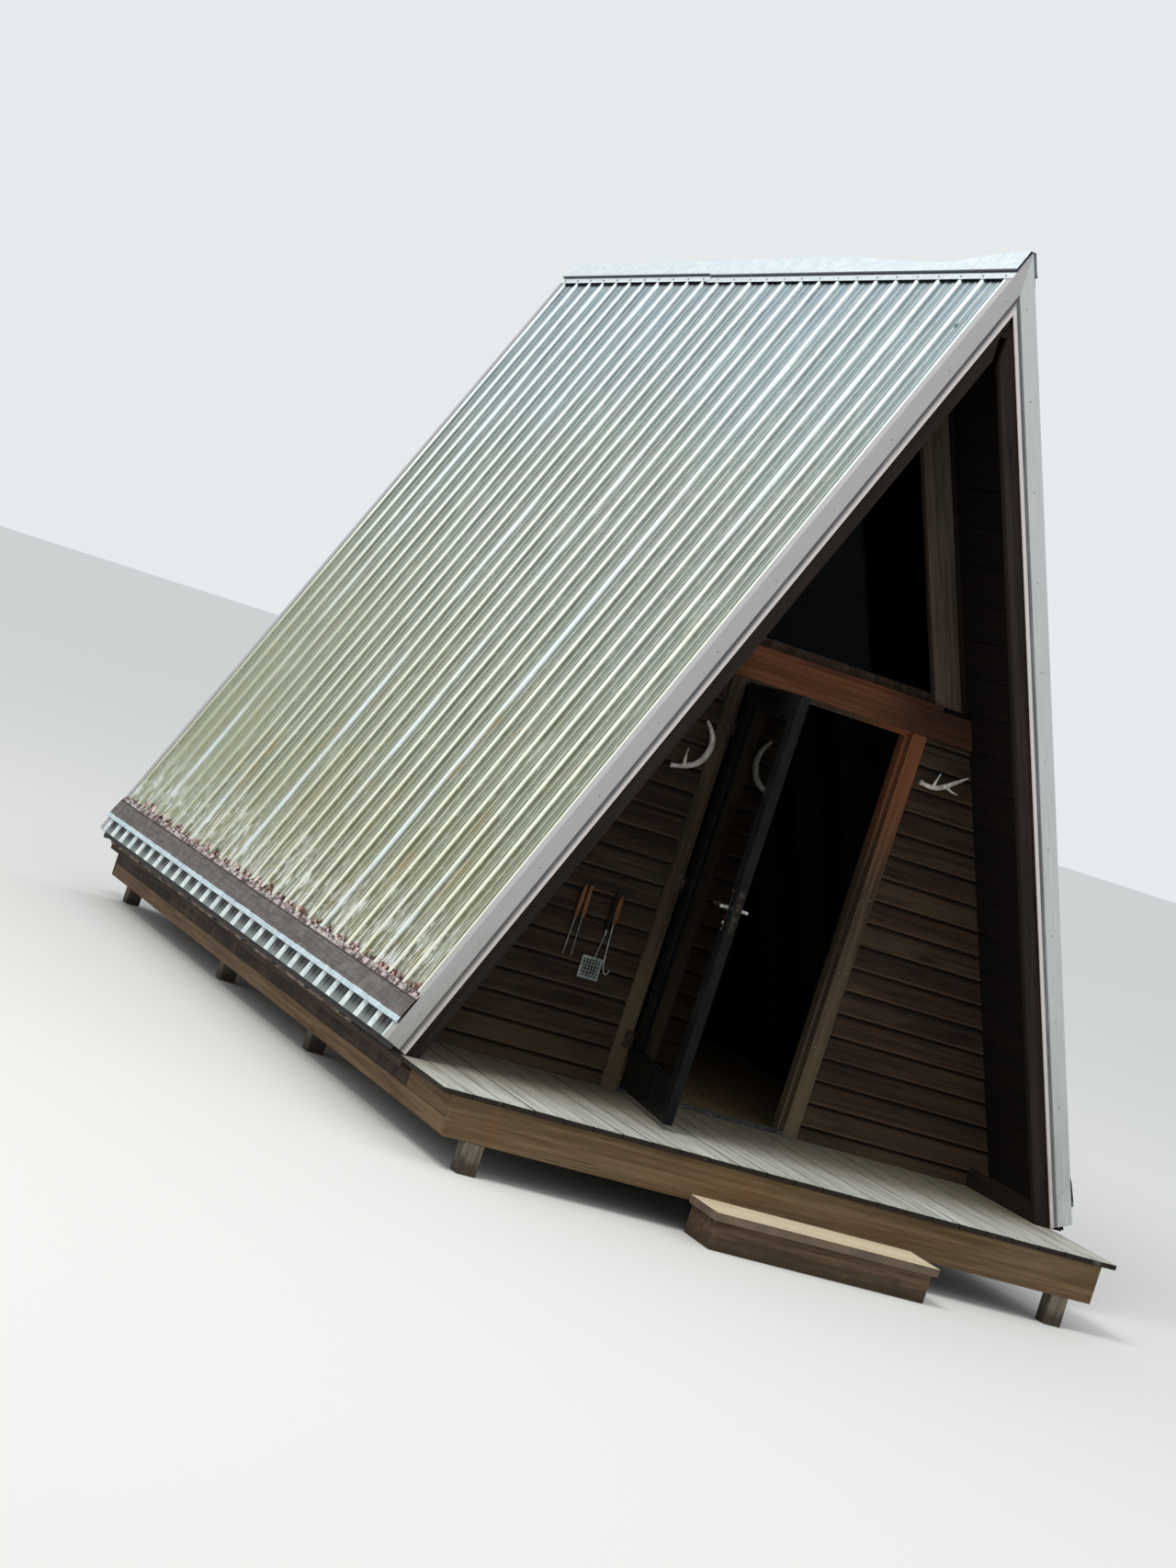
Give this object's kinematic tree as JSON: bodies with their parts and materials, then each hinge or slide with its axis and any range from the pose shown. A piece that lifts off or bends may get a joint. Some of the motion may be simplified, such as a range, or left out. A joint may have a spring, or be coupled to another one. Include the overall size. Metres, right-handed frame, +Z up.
{
  "type": "a-frame camping cabin",
  "caption": "Steep triangular cabin: ribbed metal roof down to a low timber platform, open porch, lap-sided gable wall with a glazed gable and an outward-swinging glazed door",
  "frame": {"origin": "on the ground, under the middle of the whole footprint", "axes": "+X to the right seen from the porch, +Y from the porch to the rear gable, +Z up"},
  "size_m": [3.6312, 6.998, 4.658],
  "materials": {
    "pier_wood": "rough grey posts, earth-stained at the foot",
    "rim_treated": "treated timber, dry and pale",
    "frame_wood": "dark brown stained timber",
    "deck_boards": "weathered grey boards, dirty between",
    "floor_boards": "plain boards",
    "roofing": "galvanised ribbed steel, algae at its foot",
    "trim_metal": "dull grey folded metal, dirty",
    "wall_boards": "plain framing",
    "siding": "reddish brown stain, worn",
    "header_wood": "orange brown timber",
    "gable_bars": "dark brown bars",
    "glass": "clear glass, dark behind",
    "casing_wood": "red brown stain",
    "dark_metal": "dark, satin",
    "hardware": "satin steel"
  },
  "bodies": {
    "cabin": {"piers": "pier_wood", "front_rim": "rim_treated", "rear_rim": "frame_wood", "side_rims": "rim_treated", "side_ledgers": "frame_wood", "floor_joists": "rim_treated", "porch_deck": "deck_boards", "cabin_floor": "floor_boards", "step_frame": "frame_wood", "step_tread": "rim_treated", "porch_plates": "frame_wood", "ridge_board": "frame_wood", "rafters_left": "frame_wood", "rafters_right": "frame_wood", "sheathing_left": "frame_wood", "sheathing_right": "frame_wood", "roof_sheet_left": "roofing", "roof_sheet_right": "roofing", "ridge_cap_front": "roofing", "ridge_cap_rear": "roofing", "rake_trims_front": "trim_metal", "rake_trims_rear": "trim_metal", "eave_strips": "trim_metal", "eave_drips": "trim_metal", "front_wall_left": "wall_boards", "front_wall_right": "wall_boards", "front_wall_top": "wall_boards", "front_siding_left": "siding", "front_siding_right": "siding", "header_beam": "header_wood", "gable_sill": "header_wood", "gable_frame": "gable_bars", "gable_glass": "glass", "gable_trims": "siding", "door_casings": "casing_wood", "door_frame": "casing_wood", "threshold": "dark_metal", "casing_hinges": "hardware", "rear_wall": "wall_boards", "rear_siding": "siding", "rear_trims": "siding"},
    "door": {"door_leaf": "dark_metal", "door_glass": "glass", "door_handle": "hardware", "door_hinges": "hardware"}
  },
  "joints": [
    {"name": "door_hinge", "type": "hinge", "parent": "cabin", "child": "door", "pos_m": [-0.354, -1.85, 1.389], "axis": [0, 0, 1], "range_deg": [-8, 99]}
  ]
}
